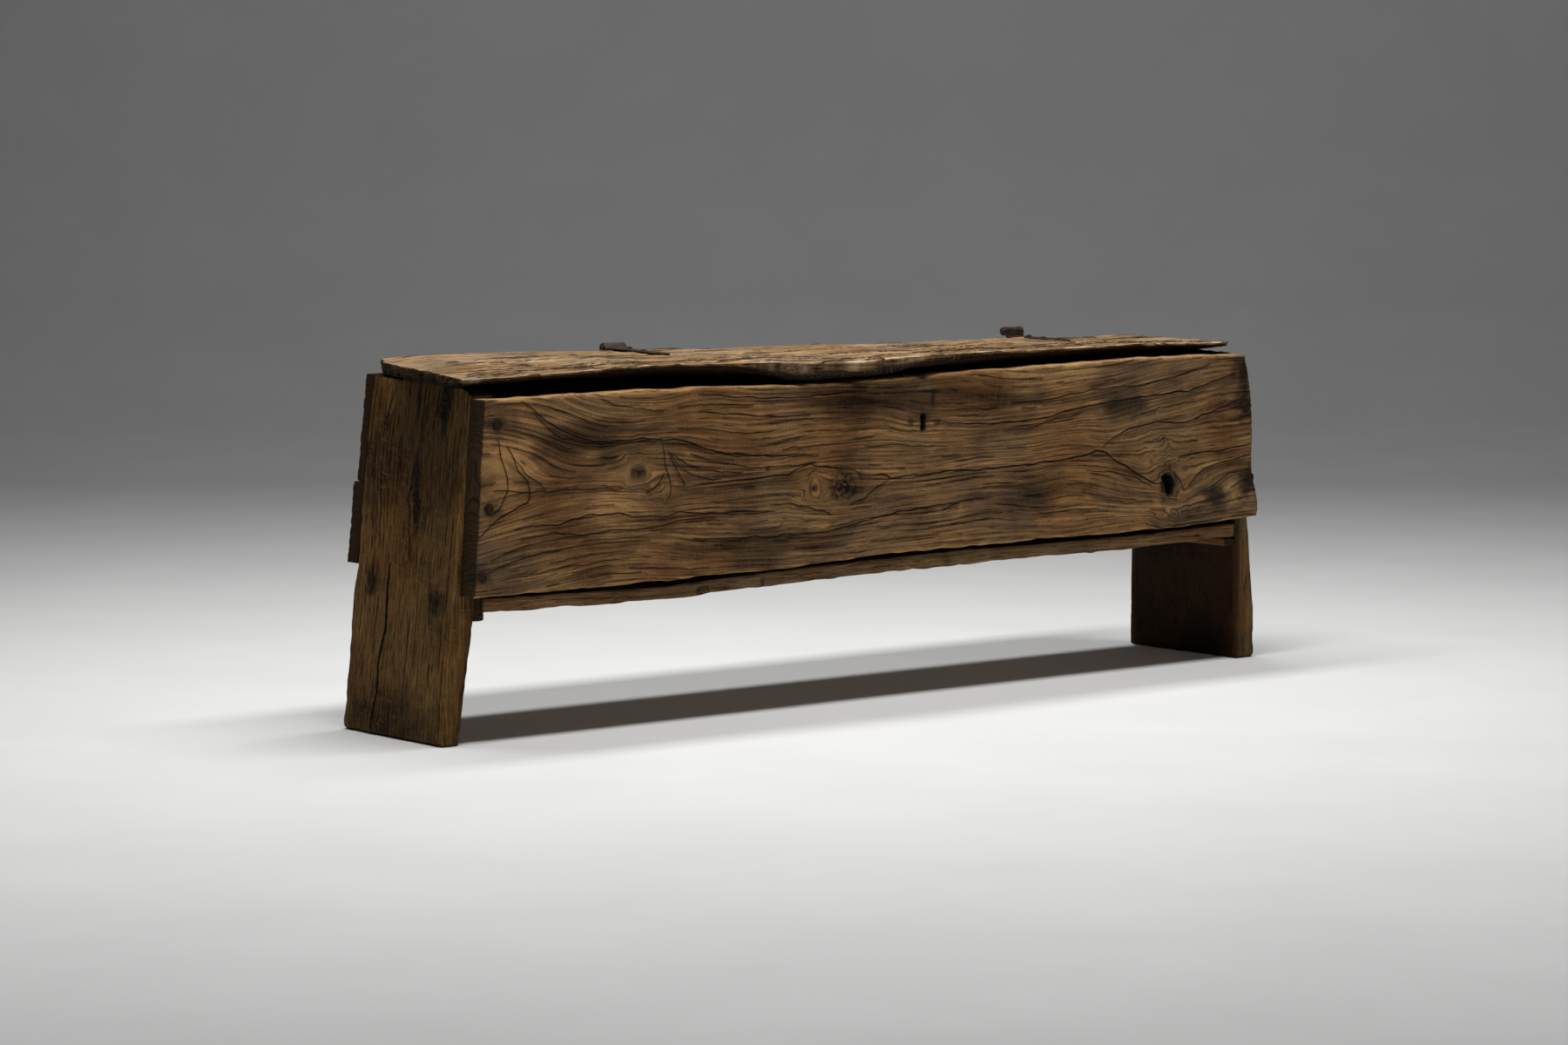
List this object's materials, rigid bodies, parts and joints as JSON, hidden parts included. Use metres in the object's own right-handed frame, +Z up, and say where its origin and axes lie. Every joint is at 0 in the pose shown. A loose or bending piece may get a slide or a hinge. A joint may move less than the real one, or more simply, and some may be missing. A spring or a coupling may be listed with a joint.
{
  "type": "storage chest",
  "caption": "Long low plank chest with splayed board ends as legs, a wide nailed front, a plank lid on forged strap hinges and a keyhole lock",
  "frame": {"origin": "on the floor under the middle of the chest's overall box, from the lid's front belly to the nail heads at the back", "axes": "+X along the chest to the right end as seen from the front, +Y from the front to the back, +Z up"},
  "size_m": [1.902, 0.395, 0.6355],
  "materials": {
    "wood": "worn and weathered",
    "lid_wood": "bleached and weathered",
    "iron": "forged, lightly rusted"
  },
  "bodies": {
    "chest_box": {"left_end_board": "wood", "right_end_board": "wood", "front_board": "wood", "upper_back_board": "wood", "lower_back_board": "wood", "bottom_board": "wood", "left_cleat": "wood", "right_cleat": "wood", "left_hinge_leaf": "iron", "left_hinge_pin": "iron", "right_hinge_leaf": "iron", "right_hinge_pin": "iron", "left_leaf_nails": "iron", "right_leaf_nails": "iron", "left_front_nails": "iron", "right_front_nails": "iron", "left_upper_back_nails": "iron", "right_upper_back_nails": "iron", "left_lower_back_nails": "iron", "right_lower_back_nails": "iron", "left_cleat_nails": "iron", "right_cleat_nails": "iron", "floor_nails": "iron", "lock_plate": "iron", "lock_case": "iron", "lock_nails": "iron"},
    "lid": {"lid_board": "lid_wood", "left_hinge_strap": "iron", "right_hinge_strap": "iron", "left_strap_nails": "iron", "right_strap_nails": "iron", "lid_staple": "iron", "staple_nails": "iron"},
    "lock_bolt": {"lock_bolt": "iron"}
  },
  "joints": [
    {"name": "lid_hinge", "type": "hinge", "parent": "chest_box", "child": "lid", "pos_m": [0, 0.186, 0.627], "axis": [-1, 0, 0], "range_deg": [0, 105]},
    {"name": "lock_bolt_slide", "type": "slide", "parent": "chest_box", "child": "lock_bolt", "axis": [-1, 0, 0], "range_m": [0, 0.012]}
  ]
}
